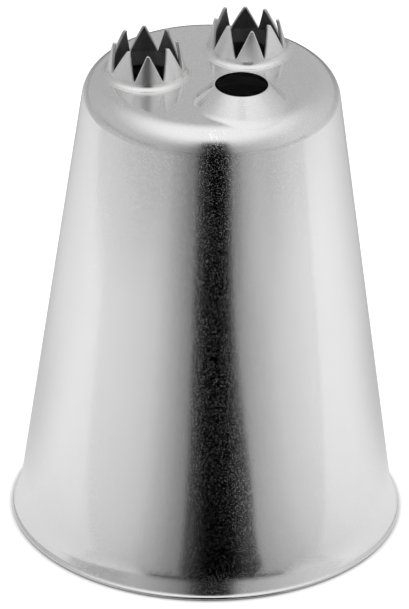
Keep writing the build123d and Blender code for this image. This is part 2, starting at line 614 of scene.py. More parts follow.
ROUND_NOZZLE, ROUND_PLAIN, ROUND_STAR = 240, 144, 96  # points round the nozzle, the plain outlet and a star hole
STAR_DIRECTION = radians(30)  # from +X to the right-hand star outlet
STEEPEST_SHARE = 0.98  # of the shoulder's radius, as far as its height is asked for
FLANK_FALL = 2.5  # how fast the flank's cone falls away past its foot
LIP_MARGIN = 0.169  # lip's corner out to where the plan of the plate begins
LIP_ROUNDINGS = (0.1, 0.05)  # outer and inner corner of the lip
INNER_EDGE = (0.05, 0.03)  # width and rounding of the rim's inner corner
JOIN_RADIUS = 13.9  # where the swept wall ends and the plan of the plate begins
LOW_EDGE = 0.49  # where the swept wall begins over the rim's rounding
LONGEST_STEP = 3.0  # rows of the straight wall
EDGE_MARGIN = 0.12  # that places keep from the plan's edge
FLANK_RADII = (*np.arange(3.6, 4.8, 0.25), *np.arange(4.8, 6.3, 0.075))  # rings over the plain outlet's flank
COLLAR_RADII = (4.75, 5.05, 5.4)  # rings round a star hole
SHOULDER_LEANS = np.arange(0, 47, 4.5)  # degrees over the shoulder
PLATE_SPACING = 0.85  # of the lattice over the flat of the plate


class ShellForm:
    """Outside of the drawn shell, as an outline round the axis and a height over the top plate."""

    def __init__(self, sizes):
        self.sizes = sizes
        slope = (sizes.wall_foot_radius - sizes.wall_top_radius) / sizes.plate_height
        self.wall_corner = radians(90) + atan2(slope, 1)
        self.flat_radius = sizes.wall_top_radius - sizes.shoulder_radius / tan(self.wall_corner / 2)
        self.skirt_top = sizes.wall_foot_radius - slope * sizes.skirt_height
        skirt_slope = (sizes.rim_radius - self.skirt_top) / sizes.skirt_height
        self.skirt_lean = atan2(skirt_slope, 1)
        self.skirt_bend = sizes.skirt_blend / tan((self.skirt_lean - atan2(slope, 1)) / 2)
        self.curl_radius = sizes.rim_radius - skirt_slope * sizes.curl_height
        self.curl_foot = self.curl_radius + tan(sizes.curl_lean) * sizes.curl_height
        self.flank_slope = sizes.lip_height / sizes.flank_spread
        self.lip_radius = sizes.bore_radius + sizes.lip
        self.plain_centre = np.array([0.0, -sizes.pitch_radius])

    def outline(self):
        """Points and normals from the table up over the shoulder to the axis."""
        sizes = self.sizes
        return rounded_outline(
            [
                (self.curl_foot, 0),
                (self.curl_radius, sizes.curl_height),
                (self.skirt_top, sizes.skirt_height),
                (sizes.wall_top_radius, sizes.plate_height),
                (0, sizes.plate_height),
            ],
            [sizes.curl_bend, self.skirt_bend, sizes.shoulder_radius],
            [8, 12, 28],
        )

    def height(self, x, y):
        """Height of the outside over a place in plan, from the shoulder inwards."""
        sizes = self.sizes
        over = np.clip(np.hypot(x, y) - self.flat_radius, 0, sizes.shoulder_radius * STEEPEST_SHARE)
        base = sizes.plate_height - sizes.shoulder_radius + np.sqrt(sizes.shoulder_radius**2 - over**2)
        away = np.hypot(x - self.plain_centre[0], y - self.plain_centre[1]) - self.lip_radius
        flank = sizes.plate_height + sizes.lip_height - away * self.flank_slope
        flank = flank - FLANK_FALL * np.clip(away - sizes.flank_spread - sizes.flank_blend, 0, None) ** 2
        near = np.clip(sizes.flank_blend - np.abs(base - flank), 0, None) / sizes.flank_blend
        return np.maximum(base, flank) + near**2 * sizes.flank_blend / 4

    def lift(self, plan):
        """Points and unit normals of the outside over places in plan."""
        x, y = plan[:, 0], plan[:, 1]
        step = 1e-4
        slope_x = (self.height(x + step, y) - self.height(x - step, y)) / (2 * step)
        slope_y = (self.height(x, y + step) - self.height(x, y - step)) / (2 * step)
        points = np.stack([x, y, self.height(x, y)], axis=1)
        normals = np.stack([-slope_x, -slope_y, np.ones(len(x))], axis=1)
        return points, normals / np.linalg.norm(normals, axis=1)[:, None]


def ring(centre, radius, count):
    """Places on a circle in plan."""
    angles = full_turn(count)
    return np.stack([centre[0] + radius * np.cos(angles), centre[1] + radius * np.sin(angles)], axis=1)


def star_centre(sizes, side):
    """Where a star outlet's axis meets the plan."""
    sign = 1 if side == "right" else -1
    return np.array([sign * sizes.pitch_radius * cos(STAR_DIRECTION), sizes.pitch_radius * sin(STAR_DIRECTION)])


def distance(places, centre):
    """How far places lie from a centre in plan."""
    return np.hypot(places[:, 0] - centre[0], places[:, 1] - centre[1])


def clear_of(places, others, gap):
    """The places that stay a gap away from all the others."""
    distances = np.hypot(places[:, None, 0] - others[None, :, 0], places[:, None, 1] - others[None, :, 1])
    return places[distances.min(axis=1) > gap]


def plate_layers(form):
    """Places over the plate, layer by layer, each with the gap that it keeps from what is there."""
    sizes = form.sizes
    layers = [(ring(form.plain_centre, radius, ROUND_PLAIN), 0.05) for radius in FLANK_RADII]
    for side in SIDES:
        layers += [(ring(star_centre(sizes, side), radius, ROUND_STAR), 0.15) for radius in COLLAR_RADII]
    for lean in SHOULDER_LEANS:
        reach = form.flat_radius + sizes.shoulder_radius * sin(radians(lean))
        layers.append((ring((0, 0), reach, ROUND_NOZZLE), 0.13))
    columns, rows = np.meshgrid(np.arange(-16, 17), np.arange(-18, 19))
    columns = columns + 0.5 * (rows % 2)
    lattice = np.stack([columns.ravel() * PLATE_SPACING, rows.ravel() * PLATE_SPACING * 0.866], axis=1)
    return [*layers, (lattice, 0.35)]


def plate_plan(form, edge):
    """Places over the plate, the triangles between them and the counts of the rings that bound it."""
    holes = [(form.plain_centre, form.lip_radius + LIP_MARGIN, ROUND_PLAIN)]
    holes += [(star_centre(form.sizes, side), form.sizes.hole_radius, ROUND_STAR) for side in SIDES]
    bounds = [edge, *(ring(*hole) for hole in holes)]
    places = np.concatenate(bounds)
    reach = np.hypot(*edge[0]) - EDGE_MARGIN
    for new, gap in plate_layers(form):
        new = new[distance(new, (0, 0)) < reach]
        for centre, radius, _ in holes:
            new = new[distance(new, centre) > radius]
        if len(new):
            new = clear_of(new, places, gap)
        places = np.concatenate([places, new])

    edges, start = [], 0
    for bound in bounds:
        numbers = list(range(start, start + len(bound)))
        edges.extend(zip(numbers, numbers[1:] + numbers[:1]))
        start += len(bound)
    found = delaunay_2d_cdt([Vector(place) * 1000 for place in places], edges, [], 0, 1e-6)
    if len(found[0]) != len(places):
        raise RuntimeError("the plan of the plate has crossing rings")
    original = [numbers[0] for numbers in found[3]]
    triangles = np.array([[original[number] for number in face] for face in found[2]])
    middles = places[triangles].mean(axis=1)
    for centre, radius, _ in holes:
        keep = distance(middles, centre) > radius * 0.9995
        triangles, middles = triangles[keep], middles[keep]
    return places, triangles, [len(bound) for bound in bounds]


def wall_outline(form):
    """Points and normals of the swept wall, from over the rim's edge to where the plan takes over."""
    sizes = form.sizes
    points, normals = with_steps(*form.outline(), LONGEST_STEP)
    keep = (points[:, 0] > JOIN_RADIUS) & (points[:, 1] > LOW_EDGE)
    start = [form.curl_foot - tan(sizes.curl_lean) * LOW_EDGE, LOW_EDGE]
    over = (JOIN_RADIUS - form.flat_radius) / sizes.shoulder_radius
    flat = sqrt(1 - over**2)
    join = [JOIN_RADIUS, sizes.plate_height - sizes.shoulder_radius * (1 - flat)]
    return np.array([start, *points[keep], join]), np.array([normals[0], *normals[keep], [over, flat]])


def shell_mesh(sizes):
    """The drawn shell as one closed sheet, from its rim to the lip of the plain outlet."""
    form = ShellForm(sizes)
    skin = Skin()
    angles = full_turn(ROUND_NOZZLE)
    outline, pointing = wall_outline(form)
    outside = turned(outline, angles)
    outside_normals = turned(pointing, angles)
    inside = outside - sizes.sheet * outside_normals
    skin.grid(outside, outside_normals)
    skin.grid(inside, -outside_normals)

    foot = outline[0] - sizes.sheet * pointing[0]
    inner_width, inner_rounding = INNER_EDGE
    corners = [foot, (foot[0] + inner_width, 0), (form.curl_foot, 0), outline[0]]
    rim, rim_normals = rounded_outline(corners, [inner_rounding, sizes.rim_rounding], [4, 8])
    rim_rows = turned(rim, angles)
    rim_rows[0], rim_rows[-1] = inside[0], outside[0]
    skin.grid(rim_rows, turned(rim_normals, angles))

    edge = outside[-1][:, :2]
    places, triangles, counts = plate_plan(form, edge)
    top, top_normals = form.lift(places)
    top[: len(edge)] = outside[-1]
    top_normals[: len(edge)] = outside_normals[-1]
    under = top - sizes.sheet * top_normals
    skin.patch(top, top_normals, triangles)
    skin.patch(under, -top_normals, triangles)

    start = counts[0]
    lip = slice(start, start + counts[1])
    lip_top = sizes.plate_height + sizes.lip_height
    outer = (form.lip_radius + LIP_MARGIN, top[start][2])
    inner = (sizes.bore_radius, under[start][2])
    lip_outline, lip_normals = rounded_outline(
        [outer, (form.lip_radius, lip_top), (sizes.bore_radius, lip_top), inner], LIP_ROUNDINGS, [5, 4]
    )
    lip_rows = turned(lip_outline, full_turn(counts[1])) + np.array([*form.plain_centre, 0])
    lip_rows[0], lip_rows[-1] = top[lip], under[lip]
    facing_out = -1 if lip_normals[0][0] < 0 else 1
    skin.grid(lip_rows, facing_out * turned(lip_normals, full_turn(counts[1])))

    start += counts[1]
    for count in counts[2:]:
        hole = slice(start, start + count)
        wall = np.array([top[hole], under[hole]])
        inward = wall.mean(axis=(0, 1)) - wall
        inward[:, :, 2] = 0
        skin.grid(wall, inward / np.linalg.norm(inward, axis=2)[:, :, None])
        start += count
    return skin.mesh("drawn_shell")


# Star crowns

VALLEY_STEPS, FLANK_STEPS, COLUMNS = 4, 17, 12  # steps round a valley, up a flank and across a tooth
TIP_SHARE = 0.93  # of the tip's rounding that is followed before the tooth is closed
LEAST_ANGLE = 0.004  # half the least width of a tooth's inner face, in radians
SIDE_SHARE, WALL_SHARE = 0.45, 0.35  # of a face's and the wall's width that a worn edge may take
TIP_CAP = ((0.02, 0.5), (0.05, 0.9))  # inset and share of the height of the loops that close a tip


def tooth_half_gap(sizes):
    """Heights and half widths of the notch beside a tooth, from its bottom up to the tip."""
    pitch = radians(360 / sizes.tooth_count)
    tip_radius = sizes.radius - sizes.lean_in
    half_top = tip_radius * sin(pitch / 2 - sizes.tip_width / 2 / tip_radius)
    lean = atan2(half_top, sizes.height - sizes.collar)
    valley = sizes.collar + sizes.valley_rounding / sin(lean)
    rows = []
    for step in range(VALLEY_STEPS + 1):
        swing = (radians(90) - lean) * step / VALLEY_STEPS
        rows.append((valley - sizes.valley_rounding * cos(swing), sizes.valley_rounding * sin(swing)))
    reach = sizes.tip_rounding / tan((radians(90) + lean) / 2)
    low_height, low_width = rows[-1]
    high_height = sizes.height - reach * cos(lean)
    for step in range(1, FLANK_STEPS):
        height = low_height + (high_height - low_height) * (step / FLANK_STEPS)
        rows.append((height, low_width + (height - low_height) * tan(lean)))
    centre_width, centre_height = half_top + reach, sizes.height - sizes.tip_rounding
    for step in range(VALLEY_STEPS + 1):
        swing = lean + (radians(90) - lean) * step / VALLEY_STEPS * TIP_SHARE
        rows.append((centre_height + sizes.tip_rounding * sin(swing), centre_width - sizes.tip_rounding * cos(swing)))
    return rows


def crown_radii(sizes):
    """Outside and inside radius of the crown at a height over the plate."""
    lean = atan2(sizes.lean_in, sizes.height - sizes.collar)
    crease = sizes.collar - sizes.wall * tan(lean / 2)
    tip = sizes.radius - sizes.lean_in
    bore = sizes.radius - sizes.wall
    outer, _ = rounded_outline(
        [(sizes.radius, -sizes.bead_top), (sizes.radius, sizes.collar), (tip, sizes.height)], [sizes.bend], [6]
    )
    inner, _ = rounded_outline(
        [(bore, -sizes.bead_foot), (bore, crease), (tip - sizes.wall / cos(lean), sizes.height)],
        [sizes.bend - sizes.wall],
        [4],
    )
    return outer, inner


def tooth_loop(sizes, height, half_gap, outer, inner, rounding):
    """One level of a tooth that points along +X, as a closed loop of points."""
    half_pitch = radians(180 / sizes.tooth_count)
    inner = max(inner, half_gap / sin(half_pitch - LEAST_ANGLE)) if half_gap else inner
    side_outer = half_pitch - asin(half_gap / outer)
    side_inner = max(half_pitch - asin(min(half_gap / inner, 1)), LEAST_ANGLE)
    reach = min(rounding, side_outer * outer * SIDE_SHARE, (outer - inner) * WALL_SHARE)
    inner_reach = min(reach, side_inner * inner * SIDE_SHARE)

    def at(radius, azimuth):
        return np.array([radius * cos(azimuth), radius * sin(azimuth), height])

    outer_free = side_outer - reach / outer
    inner_free = side_inner - inner_reach / inner
    outer_arc = [at(outer, azimuth) for azimuth in np.linspace(-outer_free, outer_free, COLUMNS + 1)]
    inner_arc = [at(inner, azimuth) for azimuth in np.linspace(inner_free, -inner_free, COLUMNS + 1)]

    def down_side(start, first, second, end, first_reach, second_reach):
        """Points along one side of the tooth, round both its corners, between the two arcs."""
        across = (second - first) / np.linalg.norm(second - first)
        leave = bend_points(start, first, first + across * first_reach)
        enter = bend_points(second - across * second_reach, second, end)
        straight = [leave[-1] + (enter[0] - leave[-1]) * part for part in (1 / 3, 2 / 3)]
        return [*leave[1:], *straight, *enter[:-1]]

    out_left, out_right = at(outer, side_outer), at(outer, -side_outer)
    in_left, in_right = at(inner, side_inner), at(inner, -side_inner)
    left = down_side(outer_arc[-1], out_left, in_left, inner_arc[0], reach, inner_reach)
    right = down_side(inner_arc[-1], in_right, out_right, outer_arc[0], inner_reach, reach)
    return np.array([*outer_arc, *left, *inner_arc, *right])


def drawn_in(loop, inset):
    """A loop of points drawn in towards its middle."""
    middle = loop.mean(axis=0)
    spread = np.linalg.norm(loop - middle, axis=1)[:, None]
    return middle + (loop - middle) * np.clip(1 - inset / spread, 0.25, 1)


def tooth_loops(sizes, notch, outer_line, inner_line):
    """The levels of one tooth from the notch's bottom to its worn tip."""
    root, top = notch[0][0], notch[-1][0]
    loops = []
    for height, half_gap in notch:
        outer = np.interp(height, outer_line[:, 1], outer_line[:, 0])
        inner = np.interp(height, inner_line[:, 1], inner_line[:, 0])
        rounding = min(sizes.edge_rounding, (height - root) * 0.6)
        level = tooth_loop(sizes, height, half_gap, outer, inner, rounding)
        above = max(0.0, height - sizes.height + sizes.tip_blunting)
        inset = sizes.tip_blunting - sqrt(max(sizes.tip_blunting**2 - above**2, 0.0))
        loops.append(drawn_in(level, inset * 0.8))
    last = loops[-1]
    for inset, rise in TIP_CAP:
        level = drawn_in(last, inset)
        level[:, 2] = top + (sizes.height - top) * rise
        loops.append(level)
    return np.array(loops)


def tube_outline(sizes, root, outer_line, inner_line):
    """Radius and height of the tube, from the notch down round the bead on its tail and up inside."""
    bore, bead = sizes.radius - sizes.wall, sizes.radius + sizes.bead
    tail, _ = rounded_outline(
        [
            (sizes.radius, -sizes.bead_top + 0.1),
            (sizes.radius, -sizes.bead_top),
            (bead, -sizes.bead_top),
            (bead, -sizes.bead_foot),
            (bore, -sizes.bead_foot),
            (bore, -sizes.bead_foot + 0.2),
        ],
        [0.04, 0.15, 0.15, 0.1],
        [2, 4, 4, 3],
    )
    below = outer_line[(outer_line[:, 1] < root)][::-1]
    above = inner_line[(inner_line[:, 1] < root) & (inner_line[:, 1] > -sizes.bead_foot + 0.3)]
    ends = [[[np.interp(root, line[:, 1], line[:, 0]), root]] for line in (outer_line, inner_line)]
    return np.concatenate([ends[0], below[:-1], tail, above, ends[1]])


def sector_mesh(sizes):
    """One tooth with its share of the tube, along +X, open where its neighbours join it."""
    outer_line, inner_line = crown_radii(sizes)
    half_pitch = radians(180 / sizes.tooth_count)
    notch = tooth_half_gap(sizes)
    loops = tooth_loops(sizes, notch, outer_line, inner_line)
    path = tube_outline(sizes, notch[0][0], outer_line, inner_line)
    tube = turned(path, np.linspace(-half_pitch, half_pitch, COLUMNS + 1))
    tube[0] = loops[0][: COLUMNS + 1]

    around = loops.shape[1]
    cap = loops.shape[0] * around
    points = [*loops.reshape(-1, 3), loops[-1].mean(axis=0), *tube[::-1].reshape(-1, 3)]
    faces = grid_faces(*loops.shape[:2], closed_columns=True)
    faces += [[cap - around + column, cap - around + (column + 1) % around, cap] for column in range(around)]
    faces += grid_faces(*tube.shape[:2], start=cap + 1)

    places, welded = weld(np.array(points))
    kept = []
    for face in faces:
        numbers = [int(welded[number]) for number in face]
        numbers = [number for i, number in enumerate(numbers) if number != numbers[i - 1]]
        if len(set(numbers)) >= 3:
            kept.append(numbers)
    mesh = bpy.data.meshes.new("tooth_blank")
    mesh.from_pydata(places * MM, [], kept)
    return mesh


CROWN_INPUTS = {
    "Int": ("Teeth", "Lean seed", "Side seed", "Drop seed"),
    "Float": ("First tooth", "Root height", "Tip height", "Lean", "Lean spread", "Side", "Side spread", "Drop spread"),
    "Vector": ("Centre",),
    "Material": ("Metal",),
}


def crown_tree():
    """Geometry nodes that set one tooth round a circle and make the teeth a little uneven."""
    group = bpy.data.node_groups.new("toothed_crown", "GeometryNodeTree")
    group.interface.new_socket(name="Tooth", in_out="INPUT", socket_type="NodeSocketGeometry")
    for kind, names in CROWN_INPUTS.items():
        for name in names:
            group.interface.new_socket(name=name, in_out="INPUT", socket_type=f"NodeSocket{kind}")
    group.interface.new_socket(name="Crown", in_out="OUTPUT", socket_type="NodeSocketGeometry")
    tree = Tree(group)
    given = tree.node("NodeGroupInput")
    value = {name: given.output(name) for names in CROWN_INPUTS.values() for name in names}

    spots = tree.node("GeometryNodePoints", None, {"Count": value["Teeth"]})
    number = tree.node("GeometryNodeInputIndex")
    spots = tree.node(
        "GeometryNodeStoreNamedAttribute",
        {"data_type": "INT", "domain": "POINT"},
        {"Geometry": spots, "Name": "tooth", "Value": number},
    )
    step = 2 * np.pi / value["Teeth"]
    turn = value["First tooth"] + number * step
    rotation = tree.node("FunctionNodeEulerToRotation", None, {"Euler": tree.vector(0.0, 0.0, turn)})
    teeth = tree.node(
        "GeometryNodeInstanceOnPoints",
        None,
        {"Points": spots, "Instance": given.output("Tooth"), "Rotation": rotation},
    )
    crown = tree.node("GeometryNodeRealizeInstances", None, {"Geometry": teeth})
    crown = tree.node("GeometryNodeMergeByDistance", None, {"Geometry": crown, "Distance": 0.0005 * MM})

    tooth = tree.node("GeometryNodeInputNamedAttribute", {"data_type": "INT"}, {"Name": "tooth"})
    direction = value["First tooth"] + tooth * step
    cosine, sine = direction.math("COSINE", direction), direction.math("SINE", direction)
    outward = tree.vector(cosine, sine, 0.0)
    along = tree.vector(0.0 - sine, cosine, 0.0)

    def uneven(name, low):
        chance = tree.node(
            "FunctionNodeRandomValue",
            {"data_type": "FLOAT"},
            {2: low, 3: 1.0, "ID": tooth, "Seed": value[f"{name} seed"]},
            1,
        )
        return chance * value[f"{name} spread"]

    place = tree.node("GeometryNodeInputPosition")
    _, _, height = tree.parts(place)
    part = ((height - value["Root height"]) / (value["Tip height"] - value["Root height"])).highest(0.0)
    lean = (value["Lean"] + uneven("Lean", -1.0)) * part
    side = (value["Side"] + uneven("Side", -1.0)) * part
    drop = uneven("Drop", 0.0) * part
    shift = tree.node("ShaderNodeVectorMath", {"operation": "SCALE"}, {0: outward, "Scale": lean})
    slide = tree.node("ShaderNodeVectorMath", {"operation": "SCALE"}, {0: along, "Scale": side})
    offset = tree.vector_math("ADD", shift, slide)
    offset = tree.vector_math("ADD", offset, tree.vector(0.0, 0.0, 0.0 - drop))
    offset = tree.vector_math("ADD", offset, value["Centre"])
    crown = tree.node("GeometryNodeSetPosition", None, {"Geometry": crown, "Offset": offset})
    crown = tree.node("GeometryNodeRealizeInstances", None, {"Geometry": crown})
    crown = tree.node("GeometryNodeSetMaterial", None, {"Geometry": crown, "Material": value["Metal"]})
    tree.node("NodeGroupOutput", None, {"Crown": crown})
    return group


def evaluated(mesh, group, values):
    """The plain mesh that a tree of geometry nodes makes of a mesh."""
    blank = placed("blank", mesh)
    modifier = blank.modifiers.new("nodes", "NODES")
    modifier.node_group = group
    for item in group.interface.items_tree:
        if item.item_type == "SOCKET" and item.in_out == "INPUT" and item.name in values:
            modifier[item.identifier] = values[item.name]
    depsgraph = bpy.context.evaluated_depsgraph_get()
    made = bpy.data.meshes.new_from_object(blank.evaluated_get(depsgraph))
    blank.modifiers.clear()
    bpy.data.objects.remove(blank)
    return made


# Braze

ROUND_BRAZE = 120  # sections round a tube
WIDEST, TALLEST = 0.845, 0.7  # room that the fillet has
WIDTH_WAVES = ((1.6, 1.4, 0.0), (0.5, 6.0, 3.0))  # share of the unevenness, waves round the tube, layer of the noise
HEIGHT_WAVES = ((1.2, 1.2, 7.0), (0.4, 5.0, 11.0))
NOISE_PLACE = {"left": 0.0, "right": 31.0}
SUNK = 0.03  # how far the braze reaches into the tube, and its ring into the bead
FILLET_CORNER = (0.2, 0.17)  # hollow of the fillet, as shares of its width and height


def braze_section(form, braze, crowns, centre, outward, spot):
    """Radius and height along the outline of the braze in one direction from the tube's axis."""
    sizes = form.sizes

    def uneven(size, limit, waves):
        for part, rate, layer in waves:
            place = Vector((outward[0] * rate + spot, outward[1] * rate, layer))
            size += braze.uneven * part * noise.noise(place)
        return min(size, limit)

    def ground(radius):
        return float(form.height(*(centre + outward * radius)))

    width = uneven(braze.width, WIDEST, WIDTH_WAVES)
    height = uneven(braze.height, TALLEST, HEIGHT_WAVES)
    tube, foot = crowns.radius, crowns.radius + width
    start = np.array([tube, sizes.plate_height + height])
    end = np.array([foot, ground(foot) - 0.004])
    corner = np.array([tube + FILLET_CORNER[0] * width, ground(tube + 0.2) + FILLET_CORNER[1] * height])
    neck, bead = sizes.hole_radius + 0.02, tube + crowns.bead
    under = ground(bead) - sizes.sheet + 0.02
    bead_top = sizes.plate_height - crowns.bead_top - SUNK
    return [
        (tube - SUNK, start[1] + 0.005),
        *bend_points(start, corner, end, 8),
        (foot, end[1] - 0.06),
        (neck, ground(neck) - 0.09),
        (neck, under),
        (bead - 0.01, under),
        (bead - 0.01, bead_top),
        (tube - SUNK, bead_top),
    ]


def braze_mesh(form, braze, crowns, side):
    """Braze round one tube: an uneven hollow fillet, the film in the gap and the ring over the bead."""
    centre = star_centre(form.sizes, side)
    loops = []
    for azimuth in full_turn(ROUND_BRAZE):
        outward = np.array([cos(azimuth), sin(azimuth)])
        section = braze_section(form, braze, crowns, centre, outward, NOISE_PLACE[side])
        loops.append([[*(centre + outward * radius), level] for radius, level in section])
    loops = np.array(loops)
    mesh = bpy.data.meshes.new(f"braze_fillet_{side}")
    mesh.from_pydata(loops.reshape(-1, 3) * MM, [], grid_faces(*loops.shape[:2], True, True))
    return mesh


# Operators


class NOZZLE_OT_drawn_shell(bpy.types.Operator):
    """Builds the drawn shell with its rim, wall, shoulder, plate and plain outlet"""

    bl_idname = "nozzle.drawn_shell"
    bl_label = "Drawn shell"

    def execute(self, context):
        finishes = context.scene.nozzle_finishes
        metal = steel("drawn_steel", finishes.shell_colour, finishes.shell_roughness, drawn_finish)
        mesh = shell_mesh(in_millimetres(context.scene.nozzle_shell))
        finished("drawn_shell", mesh, metal, "nozzle_shell")
        return {"FINISHED"}


class NOZZLE_OT_star_crowns(bpy.types.Operator):
    """Builds the two toothed outlets from one tooth each"""

    bl_idname = "nozzle.star_crowns"
    bl_label = "Star crowns"

    def execute(self, context):
        finishes = context.scene.nozzle_finishes
        metal = steel("tooth_steel", finishes.crown_colour, finishes.crown_roughness, tooth_finish, 0.8)
        sizes = in_millimetres(context.scene.nozzle_crowns)
        shell = in_millimetres(context.scene.nozzle_shell)
        root = tooth_half_gap(sizes)[0][0]
        group = crown_tree()
        for side in SIDES:
            centre = star_centre(shell, side)
            teeth = getattr(context.scene, f"nozzle_{side}_teeth")
            values = {prop.name: getattr(teeth, prop.identifier) for prop in own_properties(teeth)}
            values["Teeth"] = sizes.tooth_count
            values["First tooth"] = sizes.first_tooth
            values["Centre"] = (centre[0] * MM, centre[1] * MM, shell.plate_height * MM)
            values["Root height"] = root * MM
            values["Tip height"] = sizes.height * MM
            values["Metal"] = metal
            mesh = evaluated(sector_mesh(sizes), group, values)
            weigh_normals(mesh)
            mesh.name = f"star_crown_{side}"
            finished(mesh.name, mesh, metal, f"star_outlet_{side}")
        return {"FINISHED"}


class NOZZLE_OT_braze_fillets(bpy.types.Operator):
    """Builds the silver braze round the feet of the star crowns"""

    bl_idname = "nozzle.braze_fillets"
    bl_label = "Braze fillets"

    def execute(self, context):
        finishes = context.scene.nozzle_finishes
        metal = steel("silver_braze", finishes.braze_colour, finishes.braze_roughness, braze_finish)
        form = ShellForm(in_millimetres(context.scene.nozzle_shell))
        braze = in_millimetres(context.scene.nozzle_braze)
        crowns = in_millimetres(context.scene.nozzle_crowns)
        for side in SIDES:
            mesh = braze_mesh(form, braze, crowns, side)
            weigh_normals(mesh)
            finished(f"braze_fillet_{side}", mesh, metal, f"braze_ring_{side}")
        return {"FINISHED"}


# Studio. The steel mirrors all of it, so its levels of light are set by bearing, in degrees from the
# camera's side, with the camera's right counted up, and by distance from the nozzle, in millimetres.

OPEN_LIGHT = (  # low sky by bearing
    *((-180, 0.54), (-150, 0.52), (-110, 0.58), (-76, 0.61), (-40, 0.52), (-29, 0.42), (-21, 0.36)),
    *((0, 0.34), (19, 0.42), (38, 0.58), (76, 0.78), (112, 0.72), (150, 0.58), (180, 0.54)),
)
GAP_SHARE = ((-22, 1.0), (-12, 0.65), (-7, 0.18), (0, 0.03), (11, 0.03), (15, 0.17), (20, 1.0))  # left in the dark gap
LOW_SHARE = (  # left at the horizon
    *((-125, 1.0), (-105, 0.76), (-50, 0.76), (-42, 1.0), (-36, 1.0), (-23, 0.45)),
    *((-12, 0.3), (24, 0.2), (30, 0.55), (40, 0.75), (56, 1.0)),
)
FLOOR_LIGHT = (  # left on the floor by bearing
    *((-180, 0.2), (-172, 0.33), (-150, 0.71), (-125, 0.9), (-90, 1.06), (-75, 1.03), (-64, 1.0), (-45, 0.92)),
    *((-33, 0.81), (-24, 0.69), (-16, 0.46), (0, 0.2), (17, 0.45), (24, 0.55), (34, 0.73), (44, 0.8), (55, 0.91)),
    *((70, 1.03), (79, 1.05), (93, 1.06), (110, 1.0), (132, 0.8), (150, 0.65), (172, 0.3), (180, 0.2)),
)
# Floor light left by distance from the nozzle, in millimetres: the dip close round it is painted shadow of the nozzle
# on the floor, and the floor's light dims again far out.
FLOOR_SHADOW_AND_FALL = ((30, 0.9), (45, 0.93), (63, 0.96), (85, 0.98), (120, 1.0), (150, 1.0), (210, 0.74), (400, 0.7))
FLOOR_LEVEL = 0.84  # of the floor's light all over
FLOOR_HALF = 6.0  # half the floor's width, in metres
GLOW_EDGE = (0.0222, 0.0232)  # where the lit floor begins round the nozzle, in metres
FLAG_EDGE = ((43, 23.6), (51, 24.0), (63, 24.8), (80, 24.3), (102, 22.0), (124, 20.0), (147, 17.5), (170, 16.5))
FRONT_CARD = ((-4000, -12000), (-147, -38), (-132, -1), (-124, 18), (-118, 20.8), (4000, 20.8))  # edge by place
CARD_SOFTNESS, CARD_END, CARD_LEVEL = 0.8, 9000, 0.06
FRAME_HEIGHT = 36  # of the camera's sensor
CLIP_RANGE = (0.05, 20)  # nearest and farthest that the camera sees, in metres
LOUVRE_COUNT = 145
LOUVRE_SPACING = 0.02  # of the distance from the nozzle
LOUVRE_HEIGHT = 0.047  # of their spacing


def camera_sides(studio):
    """Level directions from the nozzle towards the camera and to the camera's right."""
    toward = Vector((sin(studio.azimuth), -cos(studio.azimuth), 0))
    return toward, Vector((-toward.y, toward.x, 0))


def floor_point(studio, bearing, reach, level):
    """A place in metres over the floor, at a bearing and a distance from the nozzle."""
    azimuth = atan2(-cos(studio.azimuth), sin(studio.azimuth)) + radians(bearing)
    return reach * cos(azimuth) * MM, reach * sin(azimuth) * MM, level * MM


def sky(studio):
    """Soft light from all round, with a bright box overhead, a dark gap in front and a dim horizon."""
    world = bpy.data.worlds.new("soft_studio")
    bpy.context.scene.world = world
    world.use_nodes = True
    tree = Tree(world.node_tree)
    toward, right = camera_sides(studio)
    ray = tree.node("ShaderNodeTexCoord", None, None, "Generated")
    ahead = tree.vector_math("DOT_PRODUCT", ray, tuple(toward), "Value")
    aside = tree.vector_math("DOT_PRODUCT", ray, tuple(right), "Value")
    _, _, up = tree.parts(ray)
    bearing = aside.math("ARCTAN2", aside, ahead) * degrees(1)
    rise = up.math("ARCSINE", up) * degrees(1)

    def by_bearing(table):
        stops = [((place + 180) / 360, light) for place, light in table]
        return tree.node("ShaderNodeValToRGB", {"stops": stops}, {"Fac": (bearing + 180.0) / 360.0})

    low, gap, dim = by_bearing(OPEN_LIGHT), by_bearing(GAP_SHARE), by_bearing(LOW_SHARE)
    behind = (1.0 - bearing.math("COSINE", bearing * radians(1))) * 0.5
    box = tree.between(rise, 12.0 + 26.0 * behind, 66.0 + 12.0 * behind)
    glow = low + box * (1.08 - low)
    glow = glow * (gap + tree.between(rise, 36.0, 62.0) * (1.0 - gap))
    top = 4.5 + 12.0 * tree.between(bearing, -38.0, -50.0)
    glow = glow * (dim + tree.between(rise, -1.0, top) * (1.0 - dim))
    light = tree.node("ShaderNodeBackground", None, {"Color": tree.vector(glow, glow, glow), "Strength": 1.0})
    plain = tree.node("ShaderNodeBackground", None, {"Color": (1, 1, 1, 1), "Strength": 1.0})
    seen = tree.node("ShaderNodeLightPath", None, None, "Is Camera Ray")
    mixed = tree.node("ShaderNodeMixShader", None, {0: seen, 1: light, 2: plain})
    tree.node("ShaderNodeOutputWorld", None, {"Surface": mixed})


